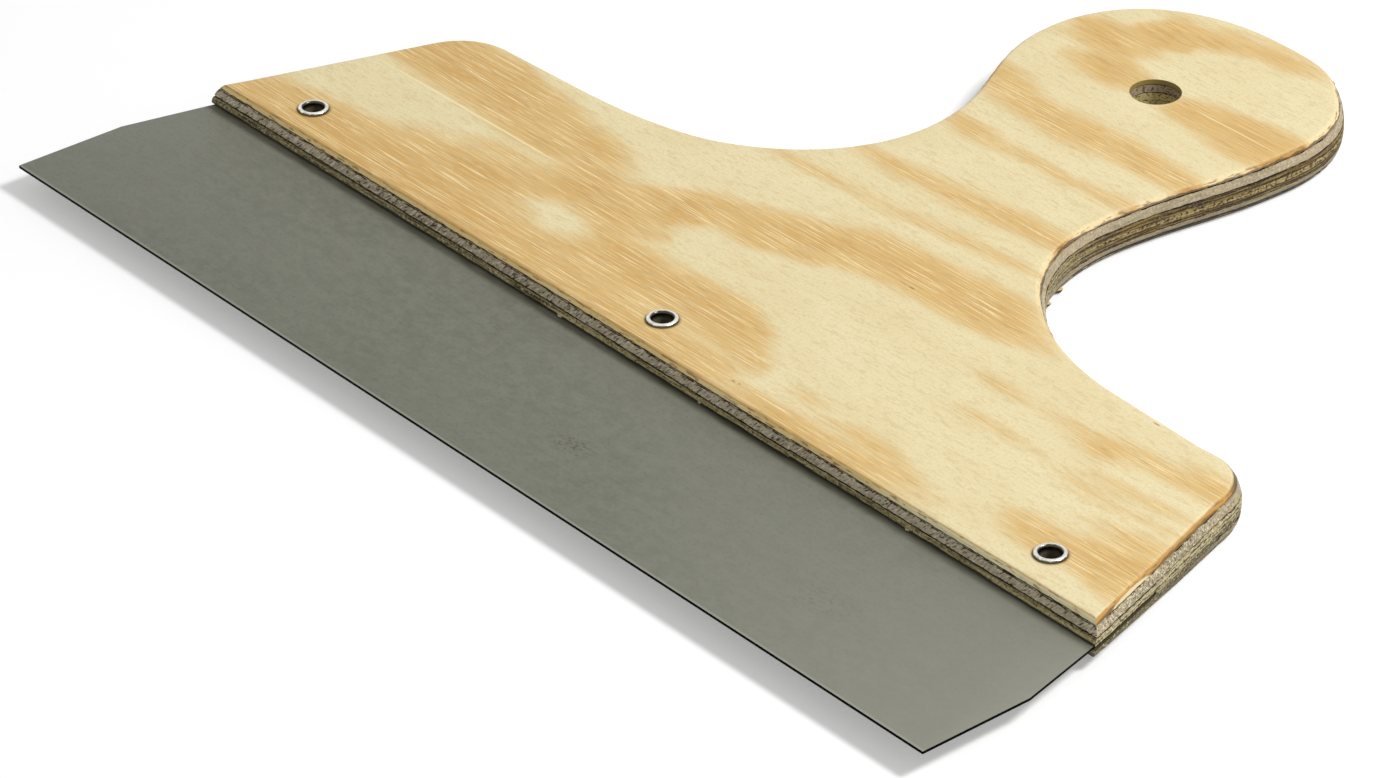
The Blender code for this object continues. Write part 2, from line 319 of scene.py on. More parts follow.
def new_material(name, roughness, metallic=0.0):
    """Empty material with its node tree and its shader."""
    made = bpy.data.materials.new(name)
    made.use_nodes = True
    tree = made.node_tree
    shader = tree.nodes["Principled BSDF"]
    shader.inputs["Roughness"].default_value = roughness
    shader.inputs["Metallic"].default_value = metallic
    return made, tree, shader


def add_node(tree, kind, feeds, **settings):
    """Node with its settings; each feed is a plain value or the output of another node."""
    made = tree.nodes.new("ShaderNode" + kind)
    for name, value in settings.items():
        setattr(made, name, value)
    for socket, value in feeds.items():
        if isinstance(value, bpy.types.NodeSocket):
            tree.links.new(value, made.inputs[socket])
        else:
            made.inputs[socket].default_value = value
    return made


def calc(tree, operation, first, second=0.0, third=0.0):
    """Result of a sum or other step on single numbers."""
    return add_node(tree, "Math", {0: first, 1: second, 2: third}, operation=operation).outputs[0]


def multiply(tree, first, second):
    return calc(tree, "MULTIPLY", first, second)


def scaled(tree, value, factor, base):
    """A value times a factor, counted from a base."""
    return calc(tree, "MULTIPLY_ADD", value, factor, base)


def fade(tree, value, start, end):
    """0 up to start and 1 from end on, with a smooth step between; either may be the larger."""
    feeds = {"Value": value, "From Min": start, "From Max": end}
    return add_node(tree, "MapRange", feeds, interpolation_type="SMOOTHSTEP").outputs["Result"]


def fade_mm(tree, value, start, end):
    """The same step for a length, between two lengths in millimetres."""
    return fade(tree, value, start * MM, end * MM)


def blend(tree, share, low, high):
    """Colour between two colours, or outputs of colour nodes."""
    feeds = {0: share, 6: low, 7: high}
    return add_node(tree, "Mix", feeds, data_type="RGBA").outputs[2]


def linear(red, green, blue):
    """Colour read on a screen, from 0 to 255, as the light it stands for."""
    def channel(value):
        share = value / 255
        return share / 12.92 if share <= 0.04045 else ((share + 0.055) / 1.055) ** 2.4
    return (channel(red), channel(green), channel(blue), 1.0)


def tint(tree, below, colour, mask, share=1.0):
    """A screen colour laid over what is below it where the mask is 1, as thinly as the share says."""
    if share != 1.0:
        mask = multiply(tree, mask, share)
    return blend(tree, mask, below, linear(*colour))


def ramp(tree, value, *stops):
    """Colour that runs through stops, each a position and a screen colour."""
    made = add_node(tree, "ValToRGB", {0: value})
    line = made.color_ramp.elements
    for position, _ in stops[2:]:
        line.new(position)
    for point, (position, colour) in zip(line, stops):
        point.position = position
        point.color = linear(*colour)
    return made.outputs[0]


def axes(tree, vector):
    """X, Y and Z of a vector, each as an output of its own."""
    parts = add_node(tree, "SeparateXYZ", {0: vector}).outputs
    return parts["X"], parts["Y"], parts["Z"]


def object_place(tree):
    """Place on the knife, followed by its X, Y and Z."""
    place = add_node(tree, "TexCoord", {}).outputs["Object"]
    return place, *axes(tree, place)


def level(tree, place):
    """Place with its height taken out."""
    feeds = {0: place, 1: (1.0, 1.0, 0.0)}
    return add_node(tree, "VectorMath", feeds, operation="MULTIPLY").outputs[0]


def from_axis(tree, place, centre):
    """Distance from the upright axis through a centre in millimetres."""
    feeds = {0: level(tree, place), 1: (centre[0] * MM, centre[1] * MM, 0.0)}
    return add_node(tree, "VectorMath", feeds, operation="DISTANCE").outputs["Value"]


def grain_noise(tree, place, sizes, detail=2.0, roughness=0.5, lean=0.0, output="Fac"):
    """Noise with features of the given millimetres along X, Y and Z, leaning over in degrees."""
    if lean:
        turn = {"Vector": place, "Rotation": (0.0, math.radians(lean), 0.0)}
        place = add_node(tree, "Mapping", turn).outputs[0]
    scale = tuple(1.0 / (size * MM) for size in sizes)
    stretched = add_node(tree, "Mapping", {"Vector": place, "Scale": scale}).outputs[0]
    feeds = {"Vector": stretched, "Scale": 1.0, "Detail": detail, "Roughness": roughness}
    return add_node(tree, "TexNoise", feeds).outputs[output]


def facing_front(tree):
    """1 on an edge that looks forwards, 0 on one that looks sideways."""
    facing = add_node(tree, "TexCoord", {}).outputs["Normal"]
    return fade(tree, calc(tree, "ABSOLUTE", axes(tree, facing)[1]), 0.55, 0.85)


def facing_up(tree):
    """How far a surface is turned up or down: 1 when level, 0 when upright."""
    facing = add_node(tree, "TexCoord", {}).outputs["Normal"]
    return calc(tree, "ABSOLUTE", axes(tree, facing)[2])


def set_surface(tree, shader, colour, height, distance, strength):
    """Give a shader its colour and a fine relief; distance in millimetres."""
    feeds = {"Height": height, "Distance": distance * MM, "Strength": strength}
    relief = add_node(tree, "Bump", feeds).outputs[0]
    tree.links.new(colour, shader.inputs["Base Color"])
    tree.links.new(relief, shader.inputs["Normal"])


# Skin of the hang hole's wall, which the core and crossband woods paint lighter as painted light
DRILLED_SKIN = (HANG_HOLE_RADIUS + 0.6, HANG_HOLE_RADIUS + 0.2)


def drilled_wall(tree, place):
    """1 on the wall of the hang hole, 0 away from it."""
    return fade_mm(tree, from_axis(tree, place, HANG_HOLE), *DRILLED_SKIN)


# Height of a growth layer, and how many layers it sways
RING_LAYER = 0.72
RING_SWAY = 2.6
# Stretches of the kerf's lip where fresh wood shows: first and last x; they set in fast and fade out
PALE_LIPS = ((-17.3, 14.0), (95.5, 140.0))
PALE_LIP_START = 1.0
PALE_LIP_END = 12.0
# Flakes that stick out of the lip: x, half width and length
LIP_FLAKES = ((-17.2, 0.8, 0.35), (21.5, 0.45, 0.2), (75.3, 0.55, 0.3))
# Where a look sets in and is full: distances from the middle of the kerf and from the seam
FRESH_LIP = (1.4, 0.9)
# Painted shade on the front of the kerf's lip
KERF_LIP_SHADE = (0.85, 0.55)
SEAM_LINE = (0.52, 0.26)
SEAM_Z = MID_Z - 0.8
SEAM_SWAY = 1.6
# The same along X and Y, and for the height of the lower core ply
DARK_LEFT = (0.0, -60.0)
PALE_RIGHT = (0.0, 60.0)
BROWN_NECK = (-6.0, 38.0)
# The lower core ply's side is painted darker as shade, more towards the front
LOWER_SHADE_END = (4.0, -12.0)
LOWER_SHADE_HEIGHT = (MID_Z, MID_Z - 0.6)
KERF_DEEP = (KERF_BACK_Y + 0.2, KERF_BACK_Y - 0.2)


def core_wood():
    """Olive-brown pine: streaked along the front and layered round the sides, with painted shade in the
    kerf, on its lip and on the lower ply's side, and painted light on the hang hole's wall.
    """
    made, tree, shader = new_material("core_pine", 0.85)
    place, along, across, height = object_place(tree)
    streaks = grain_noise(tree, place, (9.0, 0.7, 0.4), detail=3.0, roughness=0.6)
    specks = grain_noise(tree, place, (0.6, 0.6, 0.36), detail=3.0, roughness=0.65)
    sway = grain_noise(tree, place, (26.0, 26.0, 2.4))
    fuzz = grain_noise(tree, place, (6.0, 6.0, 0.3), detail=3.0, roughness=0.6)
    crumbs = grain_noise(tree, place, (2.2, 2.2, 0.35), detail=3.0, roughness=0.65)
    dashes = grain_noise(tree, place, (0.6, 0.6, 0.5))
    from_kerf = calc(tree, "ABSOLUTE", calc(tree, "SUBTRACT", height, MID_Z * MM))
    front = ramp(tree, streaks, (0.34, (50, 42, 22)), (0.46, (138, 124, 80)),
                 (0.58, (190, 176, 122)), (0.72, (234, 220, 168)))
    front = tint(tree, front, (52, 42, 22), fade_mm(tree, along, *DARK_LEFT), 0.4)
    front = tint(tree, front, (206, 192, 138), fade_mm(tree, along, *PALE_RIGHT), 0.2)
    for left, right in PALE_LIPS:
        started = fade_mm(tree, along, left, left + PALE_LIP_START)
        not_ended = fade_mm(tree, along, right, right - PALE_LIP_END)
        fresh = multiply(tree, multiply(tree, started, not_ended), fade_mm(tree, from_kerf, *FRESH_LIP))
        front = tint(tree, front, (226, 210, 150), fresh, 0.5)
    layers = scaled(tree, height, 1 / (RING_LAYER * MM), multiply(tree, sway, RING_SWAY))
    layers = calc(tree, "SINE", multiply(tree, layers, 2 * math.pi))
    crumbly = scaled(tree, layers, 0.14, crumbs)
    pale_side = ramp(tree, crumbly, (0.3, (40, 32, 16)), (0.4, (118, 103, 62)),
                     (0.5, (190, 175, 130)), (0.74, (222, 210, 168)))
    # Painted shade on the downward-turned side of the lower core ply
    lower = multiply(tree, fade_mm(tree, height, *LOWER_SHADE_HEIGHT), 0.85)
    pale_side = tint(tree, pale_side, (80, 72, 36), lower, fade_mm(tree, across, *LOWER_SHADE_END))
    layered = scaled(tree, layers, 0.2, fuzz)
    dark_side = ramp(tree, layered, (0.32, (22, 14, 5)), (0.44, (66, 44, 15)),
                     (0.58, (100, 78, 30)), (0.74, (156, 132, 70)))
    brown = fade_mm(tree, across, *BROWN_NECK)
    side = blend(tree, brown, pale_side, dark_side)
    side = tint(tree, side, (48, 36, 16), fade(tree, layers, 0.45, 0.95), 0.4)
    seam = scaled(tree, sway, SEAM_SWAY * MM, SEAM_Z * MM)
    from_seam = calc(tree, "ABSOLUTE", calc(tree, "SUBTRACT", height, seam))
    pale = multiply(tree, fade_mm(tree, from_seam, *SEAM_LINE), fade(tree, dashes, 0.4, 0.54))
    side = tint(tree, side, (180, 158, 104), pale, brown)
    wood = blend(tree, facing_front(tree), side, front)
    rough = scaled(tree, brown, -0.6, 0.8)
    wood = tint(tree, wood, (214, 202, 162), fade(tree, specks, 0.54, 0.65), rough)
    wood = tint(tree, wood, (50, 40, 24), fade(tree, specks, 0.46, 0.36), rough)
    # Painted shade: the kerf's floor and the front of its lip are painted dark as the shade in the slot
    in_kerf = fade_mm(tree, across, *KERF_DEEP)
    lip = multiply(tree, fade_mm(tree, from_kerf, *KERF_LIP_SHADE), facing_front(tree))
    inside = calc(tree, "MAXIMUM", lip, fade(tree, facing_up(tree), 0.7, 0.85))
    painted_shade = blend(tree, facing_front(tree), linear(66, 56, 30), linear(34, 28, 15))
    wood = blend(tree, multiply(tree, in_kerf, inside), wood, painted_shade)
    for x, half_width, _ in LIP_FLAKES:
        away = calc(tree, "ABSOLUTE", calc(tree, "SUBTRACT", along, x * MM))
        flake = multiply(tree, fade_mm(tree, away, half_width, half_width / 2), lip)
        wood = tint(tree, wood, (236, 224, 172), flake, in_kerf)
    # Painted light: the core's wall in the hang hole is lightened
    drilled = drilled_wall(tree, place)
    wood = tint(tree, wood, (218, 202, 142), drilled, 0.85)
    wood = tint(tree, wood, (118, 100, 56), drilled, fade(tree, specks, 0.5, 0.37))
    set_surface(tree, shader, wood, specks, 0.2, 0.7)
    return made


CORE_WOOD = core_wood()
CORE_TEAR = 0.22
MIDDLE_GLUE = 0.14
GLUE_OPENING = 0.26
LIP_HEIGHT = 0.6
LIP_CHIP = 0.2
LIP_WHOLE_FROM = PALE_LIPS[-1][0]
# The ragged lip: how deep the chips lie on average, and how much coarse and fine chips vary
CHIP_MEAN = 0.75
CHIP_COARSE = 0.9
CHIP_FINE = 0.4
CHIP_LENGTH = 5.0


def core_cut(point, z):
    """Torn long grain; at the front the saw also chipped the kerf's lip, except near the right end."""
    cut = torn(point, z, "X", CORE_TEAR)
    low = abs(z - MID_Z) - KERF_HALF_HEIGHT
    if point.y < FRONT_Y + 0.01 and low < LIP_HEIGHT:
        share = 1 - max(0.0, low) / LIP_HEIGHT
        if point.x < LIP_WHOLE_FROM:
            ragged = CHIP_MEAN + CHIP_COARSE * noise.noise(Vector((point.x / CHIP_LENGTH, 0.0, 7.0)))
            ragged += CHIP_FINE * noise.noise(Vector((point.x, 3.0, z)))
            cut += LIP_CHIP * max(0.0, ragged) * share
        for x, half_width, length in LIP_FLAKES:
            cut -= length * share * max(0.0, 1 - abs(point.x - x) / half_width)
    return cut


def core_ply(upward):
    """Core ply with half the kerf in its glued face; the lower ply is the upper one turned over."""
    kerf_top = MID_Z + KERF_HALF_HEIGHT
    bm = ply_mesh(ring_heights(kerf_top, CORE_TOP - GLUE_OPENING / 2), core_cut)
    rim = bm.verts.layers.int["rim"]
    lowest = kerf_top + ARRIS_HEIGHT / 2
    below = [face for face in bm.faces if max(vert.co.z for vert in face.verts) < lowest]
    around = below + list({edge for face in below for edge in face.edges})
    around += list({vert for face in below for vert in face.verts})
    drawn = set(bm.verts)
    cut = bmesh.ops.bisect_plane(bm, geom=around, dist=0.001, plane_co=(0.0, KERF_BACK_Y, 0.0),
                                 plane_no=(0.0, 1.0, 0.0))["geom"]
    behind = []
    for item in cut:
        if isinstance(item, bmesh.types.BMVert) and item not in drawn:
            item[rim] = 0
        if isinstance(item, bmesh.types.BMFace) and item.calc_center_median().y > KERF_BACK_Y:
            behind.append(item)
    _, verts = raise_sheet(bm, behind)
    place_rim(verts, rim, MID_Z + MIDDLE_GLUE / 2, core_cut)
    if not upward:
        bmesh.ops.scale(bm, vec=(1.0, 1.0, -1.0), verts=bm.verts)
        bmesh.ops.translate(bm, vec=(0.0, 0.0, BOARD_THICKNESS), verts=bm.verts)
    bmesh.ops.recalc_face_normals(bm, faces=bm.faces)
    return bm


for node, upward in (("lower_core_ply", False), ("upper_core_ply", True)):
    core = add_piece(node.replace("ply", "sheet"), core_ply(upward), CORE_WOOD)
    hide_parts(node)


# Crossbands
# Two plies with their grain from front to back, one on each side of the core. Their pale edge is
# rough end grain along the front and smoother long grain along the sides of the handle.
CROSSBAND_HIGH = 7.9
CROSSBAND_TEAR = 0.2
FACE_GLUE_OPENING = 0.24
# Where a look sets in and is full: y of the rough end, and heights
ROUGH_END = (-12.0, -34.0)
# Painted shade along the foot of the lower crossband's side, where it turns down
CROSSBAND_FOOT_SHADE = (1.9, 1.4)
GREY_BELOW = (5.0, 3.0)
GLUED_TOP = (CROSSBAND_HIGH - 0.38, CROSSBAND_HIGH - 0.22)


def crossband_wood():
    """Grey speckled end grain along the front, smoother pinkish long grain along the sides, with painted
    shade at the foot of the lower side and painted light on the hang hole's wall.
    """
    made, tree, shader = new_material("crossband_pine", 0.88)
    place, _, across, height = object_place(tree)
    fibres = grain_noise(tree, place, (0.5, 7.0, 0.5), detail=3.0)
    patches = grain_noise(tree, place, (8.0, 12.0, 2.0))
    flecks = grain_noise(tree, place, (0.32, 0.8, 1.4), roughness=0.6, lean=-48.0)
    ticks = grain_noise(tree, place, (1.3, 1.3, 0.5))
    pits = grain_noise(tree, place, (0.5, 0.5, 0.36), roughness=0.6)
    front = blend(tree, fade(tree, patches, 0.3, 0.7), linear(190, 176, 148), linear(214, 199, 172))
    front = tint(tree, front, (76, 65, 48), fade(tree, flecks, 0.46, 0.34))
    front = tint(tree, front, (238, 229, 208), fade(tree, flecks, 0.55, 0.66))
    front = tint(tree, front, (30, 24, 16), fade_mm(tree, height, *GLUED_TOP), fade(tree, ticks, 0.4, 0.5))
    side = blend(tree, fade(tree, fibres, 0.3, 0.7), linear(148, 136, 108), linear(180, 167, 137))
    side = tint(tree, side, (180, 162, 132), fade(tree, patches, 0.4, 0.7))
    rough_end = fade_mm(tree, across, *ROUGH_END)
    pitted = scaled(tree, rough_end, 0.55, 0.3)
    side = tint(tree, side, (74, 62, 42), fade(tree, pits, 0.46, 0.34), pitted)
    side = tint(tree, side, (234, 226, 200), fade(tree, pits, 0.54, 0.66), pitted)
    # Painted shade: the foot of the side is painted near black
    side = tint(tree, side, (26, 21, 14), fade_mm(tree, height, *CROSSBAND_FOOT_SHADE))
    wood = blend(tree, facing_front(tree), side, front)
    greyed = scaled(tree, rough_end, 0.65, 0.1)
    wood = tint(tree, wood, (90, 84, 58), fade_mm(tree, height, *GREY_BELOW), greyed)
    # Painted light: the crossband's wall in the hang hole is lightened
    drilled = drilled_wall(tree, place)
    wood = tint(tree, wood, (186, 166, 140), drilled, 0.85)
    wood = tint(tree, wood, (108, 88, 66), drilled, fade(tree, pits, 0.5, 0.37))
    set_surface(tree, shader, wood, calc(tree, "ADD", flecks, pits), 0.2, 0.7)
    return made


def crossband_cut(point, z):
    return torn(point, z, "Y", CROSSBAND_TEAR)


CROSSBAND_WOOD = crossband_wood()
crossband_low = CORE_TOP + GLUE_OPENING / 2
crossband_high = CROSSBAND_HIGH - FACE_GLUE_OPENING / 2
for node, low, high in (
    ("lower_crossband", BOARD_THICKNESS - crossband_high, BOARD_THICKNESS - crossband_low),
    ("upper_crossband", crossband_low, crossband_high),
):
    sheet = ply_mesh(ring_heights(low, high), crossband_cut)
    crossband = add_piece(node + "_sheet", sheet, CROSSBAND_WOOD)
    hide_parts(node)


# Face veneers
# Rotary-cut pine veneer on both faces, grain along the blade, sanded and left bare. Peeling skims the
# growth rings, so tan late wood lies in bands and drawn-out patches in the cream early wood.
VENEER_LOW = CROSSBAND_HIGH + FACE_GLUE_OPENING / 2
VENEER_TEAR = 0.1
# Patches of the figure on both faces: middle x and y, half length, half width and turn in degrees
UPPER_LATE_WOOD = (
    (-95, -21.8, 40, 9.8, 0),
    (-78, -27.5, 30, 4.2, 0),
    (-66, -29.6, 16, 3.4, 0),
    (-66, -37.5, 12, 2.4, 12),
    (-56, -23, 14, 5.5, -3),
    (-46, -31.5, 11, 6, 0),
    (-75, -58, 60, 11, 0),
    (-62, -45.5, 26, 8, 8),
    (-40, -37, 18, 10, 0),
    (-22, -51, 24, 12.5, 0),
    (0, -52, 24, 14, 0),
    (10, -60, 17, 5, 0),
    (-27, -25.5, 14, 7.5, 35),
    (-6, -16, 20, 8, 22),
    (18, -9.3, 26, 7, 6),
    (36, -8, 16, 6.5, 3),
    (46, -60, 24, 5, 0),
    (57, -56.5, 11, 5, 0),
    (38, -52, 4.5, 1.6, 0),
    (99, -51, 11.5, 4.6, 2),
    (112, -47.5, 13, 7, 14),
    (114, -54, 10, 3, -10),
    (84, -24, 8, 3.6, 0),
    (97, -21.5, 16, 2.8, 4),
    (105, -19.5, 9, 4.6, 0),
    (104, -30, 10, 0.8, 6),
    (107, -35, 9, 0.8, 8),
    (108, -40.5, 9, 3.2, 12),
    (75, -23, 6, 1.2, 0),
    (58, -24, 4, 1.3, 0),
    (63, -33.5, 4, 0.9, 0),
    (92, -35, 10, 0.6, 0),
    (-18, 2.2, 18, 1.3, 3),
    (18, 5.6, 24, 1.3, 7),
    (-14, 14.8, 18, 2.8, 3),
    (10, 17, 20, 3.6, 5),
    (22, 18, 16, 3, 0),
    (-16, 35.6, 12, 2.6, -8),
    (6, 35, 16, 2, 3),
    (22, 36.4, 10, 1.8, 3),
    (-24, 53, 10, 3.2, -15),
    (-6, 49.5, 26, 4.8, 0),
    (16, 50, 18, 4.6, 0),
    (23, 72, 17, 7.6, 4),
    (8, 70.5, 8, 4.5, 0),
    (-15, 71.5, 10, 6, 0),
    (-23, 79, 12, 6, 0),
    (-17, 89.5, 6.5, 7.5, 0),
    (-10, 94, 8, 4, 10),
    (0, 98.2, 17, 3.2, 6),
)
UPPER_EARLY_WOOD = (
    (-39, -45, 6.5, 3.6, -8),
    (42, -55, 13, 0.7, -2),
)
UPPER_BRIGHT_LINES = (
    (17.3, 71.8, 15, 0.2, -0.7),
    (-81, -32.2, 32, 0.35, 0.4),
)
UPPER_DARK_MARKS = (
    (24.8, -58.1, 0.6, 0.25, 0),
    (26.2, -57.9, 0.4, 0.2, 0),
    (21.5, -13, 0.9, 0.25, 0),
    (83, -12, 0.9, 0.25, 0),
)
LOWER_LATE_WOOD = (
    (-70, -50, 60, 8, 4),
    (40, -44, 50, 9, -6),
    (-60, -22, 44, 6, -3),
    (70, -20, 46, 5, 2),
    (-5, -4, 40, 4, 5),
    (0, 18, 40, 3, -4),
    (0, 38, 40, 5, 6),
    (-4, 62, 40, 6, -5),
    (6, 88, 30, 5, 8),
)
LOWER_EARLY_WOOD = (
    (-20, -36, 30, 4, 4),
    (90, -50, 20, 3, 0),
)
LOWER_BRIGHT_LINES = ((-30, -28, 30, 0.2, 0),)
LOWER_DARK_MARKS = ((45, -36, 0.8, 0.25, 0),)
# Upright size of an oval that runs through the whole board
THROUGH = 1000.0


def oval_reach(tree, place, middle, half_sizes, turn=0.0):
    """0 in the middle of an oval and 1 on its rim; lengths in millimetres and turn in degrees."""
    feeds = {
        "Vector": place,
        "Location": [length * MM for length in middle],
        "Rotation": (0.0, 0.0, math.radians(turn)),
        "Scale": [length * MM for length in half_sizes],
    }
    local = add_node(tree, "Mapping", feeds, vector_type="TEXTURE").outputs[0]
    return add_node(tree, "VectorMath", {0: local}, operation="LENGTH").outputs["Value"]


def patch_depth(tree, place, patches, softness):
    """How deep a place lies inside the nearest of some drawn-out oval patches, in millimetres."""
    depth = None
    for x, y, half_length, half_width, turn in patches:
        reach = oval_reach(tree, place, (x, y, 0.0), (half_length, half_width, THROUGH), turn)
        here = scaled(tree, reach, -half_width, half_width)
        depth = here if depth is None else calc(tree, "SMOOTH_MAX", depth, here, softness)
    return depth


# How patches run into each other, and how the figure sways: sizes of the sway and its moves
LATE_SOFTNESS = 2.5
EARLY_SOFTNESS = 1.5
LINE_SOFTNESS = 0.05
SWAY_SIZES = (50.0 / 3, 25.0 / 3, 1000.0)
SWAY_MOVES = (14.0, 4.0, 0.0)
# Places where the face veneer broke out at its edge: x, y, reach along the edge and depth
VENEER_CHIPS = ((116.6, -51.0, 6.5, 0.18),)
CHIP_HEIGHT = 0.5
# Corner of the board at the right shoulder, where the veneer's edge is painted dark as shade
SHADED_SHOULDER = (101.0, -10.0)
SHADED_SHOULDER_REACH = 11.0
# Where a look sets in and is full: distance from a rivet, y, heights, and x
# Painted shade round each rivet's rim
RIVET_RING_SHADE = (3.6, 3.0)
OPEN_GRAIN = (62.0, 52.0)
BURNT_SIDE = (-4.0, -14.0)
# Painted shade along the foot of the veneer's edge, above the glue line, with a wandering top
VENEER_FOOT_SHADE = (8.42, 8.22)
FOOT_SHADE_WANDER = 1.2
# A darker band just under the front arris, fading out towards the right
ARRIS_BAND_HEIGHT = (8.45, 8.65)
ARRIS_BAND_RUN = (80.0, 0.0)


def veneer_wood(name, late_wood, early_wood, bright_lines, dark_marks, underside_edge_shade):
    """Sanded pine: the placed figure with feathered ends, bright fibres, fine grooves and darker edges,
    with painted shade round the rivets, at the shoulder, at the foot of the edge and on the underside's
    edge, and painted light on the front edge.
    """
    made, tree, shader = new_material(name, 0.62)
    place, along, across, height = object_place(tree)
    flat = level(tree, place)
    sway = grain_noise(tree, flat, SWAY_SIZES, output="Color")
    centred = add_node(tree, "VectorMath", {0: sway, 1: (0.5, 0.5, 0.5)}, operation="SUBTRACT").outputs[0]
    feeds = {0: centred, 1: [move * MM for move in SWAY_MOVES], 2: flat}
    moved = add_node(tree, "VectorMath", feeds, operation="MULTIPLY_ADD").outputs[0]
    figure = patch_depth(tree, moved, late_wood, LATE_SOFTNESS)
    gaps = patch_depth(tree, moved, early_wood, EARLY_SOFTNESS)
    figure = calc(tree, "SMOOTH_MIN", figure, multiply(tree, gaps, -1.0), EARLY_SOFTNESS)
    clouds = grain_noise(tree, place, (24.0, 9.0, 40.0), detail=3.0, roughness=0.6)
    streaks = grain_noise(tree, place, (26.0, 0.9, 20.0), detail=3.0, roughness=0.6)
    fine = grain_noise(tree, place, (14.0, 0.24, 9.0))
    short = grain_noise(tree, place, (4.0, 0.3, 2.0))
    felt = grain_noise(tree, place, (2.6, 0.7, 2.0), detail=3.0, roughness=0.65)
    grit = grain_noise(tree, place, (0.7, 0.35, 0.5))
    feather = scaled(tree, calc(tree, "SUBTRACT", clouds, 0.5), 4.0, figure)
    feather = scaled(tree, calc(tree, "SUBTRACT", streaks, 0.5), 3.4, feather)
    late = fade(tree, feather, -2.0, 2.4)
    pale_wood = blend(tree, fade(tree, clouds, 0.35, 0.7), linear(239, 225, 180), linear(234, 218, 171))
    tan_wood = blend(tree, fade(tree, feather, 1.5, 7.0), linear(222, 184, 116), linear(212, 167, 94))
    tan_wood = tint(tree, tan_wood, (226, 191, 127), fade(tree, streaks, 0.5, 0.7), 0.45)
    tan_wood = tint(tree, tan_wood, (202, 156, 88), fade(tree, streaks, 0.45, 0.3), 0.5)
    wood = blend(tree, late, pale_wood, tan_wood)
    open_grain = scaled(tree, fade_mm(tree, across, *OPEN_GRAIN), 0.5, 0.5)
    fibres = multiply(tree, fade(tree, fine, 0.55, 0.62), scaled(tree, late, 0.85, 0.15))
    wood = tint(tree, wood, (248, 224, 168), fibres, open_grain)
    grooved = scaled(tree, late, 0.4, 0.08)
    wood = tint(tree, wood, (182, 140, 80), fade(tree, short, 0.44, 0.32), grooved)
    wood = tint(tree, wood, (212, 188, 134), fade(tree, felt, 0.52, 0.32), 0.45)
    wood = tint(tree, wood, (208, 186, 134), fade(tree, grit, 0.55, 0.3), 0.35)
    lines = patch_depth(tree, flat, bright_lines, LINE_SOFTNESS)
    wood = tint(tree, wood, (250, 232, 180), fade(tree, lines, 0.0, 0.1), 0.75)
    marks = patch_depth(tree, flat, dark_marks, LINE_SOFTNESS)
    wood = tint(tree, wood, (110, 82, 42), fade(tree, marks, 0.0, 0.1), 0.6)
    # Painted shade: a dark ring where each rivet's rim meets the wood
    for centre in RIVET_PLACES.values():
        rivet_shade = fade_mm(tree, from_axis(tree, place, centre), *RIVET_RING_SHADE)
        wood = tint(tree, wood, (120, 90, 50), rivet_shade, 0.75)
    burnt = fade_mm(tree, across, *BURNT_SIDE)
    sides = blend(tree, calc(tree, "MAXIMUM", late, burnt), linear(236, 210, 158), linear(188, 141, 64))
    # Painted shade: the foot of the side edge is painted dark brown, a little less towards the front
    uneven = grain_noise(tree, place, (5.0, 5.0, 40.0), detail=3.0, roughness=0.6)
    foot = scaled(tree, calc(tree, "SUBTRACT", uneven, 0.5), FOOT_SHADE_WANDER * MM, height)
    foot_shade_share = scaled(tree, burnt, -0.15, 0.8)
    sides = tint(tree, sides, (44, 30, 12), fade_mm(tree, foot, *VENEER_FOOT_SHADE), foot_shade_share)
    # Painted light: the front edge, of the face's own wood, is painted lighter than the face
    fronts = blend(tree, late, linear(253, 242, 193), linear(242, 215, 147))
    # Darker band just under the front arris, fading out towards the right
    arris_band = multiply(tree, fade_mm(tree, height, *ARRIS_BAND_HEIGHT), fade_mm(tree, along, *ARRIS_BAND_RUN))
    fronts = tint(tree, fronts, (158, 128, 62), arris_band, 0.4)
    edges = blend(tree, facing_front(tree), sides, fronts)
    leaves = grain_noise(tree, place, (2.6, 2.6, 0.35))
    edges = tint(tree, edges, (116, 88, 42), fade(tree, leaves, 0.46, 0.34), 0.7)
    for x, y, reach, _ in VENEER_CHIPS:
        away = oval_reach(tree, place, (x, y, VENEER_LOW), (reach, reach, CHIP_HEIGHT))
        edges = tint(tree, edges, (222, 206, 162), fade(tree, away, 1.05, 0.85))
    # Painted shade on the veneer's edge round the shoulder corner
    from_corner = from_axis(tree, place, SHADED_SHOULDER)
    painted_shade = fade_mm(tree, from_corner, SHADED_SHOULDER_REACH, SHADED_SHOULDER_REACH / 2)
    edges = tint(tree, edges, (62, 48, 24), painted_shade, 0.8)
    edges = tint(tree, edges, (160, 140, 74), drilled_wall(tree, place))
    # Painted shade: the underside veneer's edge, which faces down, is painted near black by the given
    # share
    edges = tint(tree, edges, (20, 16, 11), underside_edge_shade)
    wood = blend(tree, fade(tree, facing_up(tree), 0.97, 0.72), wood, edges)
    set_surface(tree, shader, wood, calc(tree, "ADD", fine, short), 0.05, 0.5)
    return made


FACE_ROUND = 0.45
FACE_ROUND_STEPS = 5
# Splinters left hanging from the lower veneer at the neck: x, y, half width and length
SPLINTERS = ((32.4, 11.9, 0.7, 1.3), (29.9, 16.7, 0.9, 1.1))
# Share of a chip's depth that broke out on average, and how much that varies
BREAK_MEAN = 0.8
BREAK_VARIES = 0.5


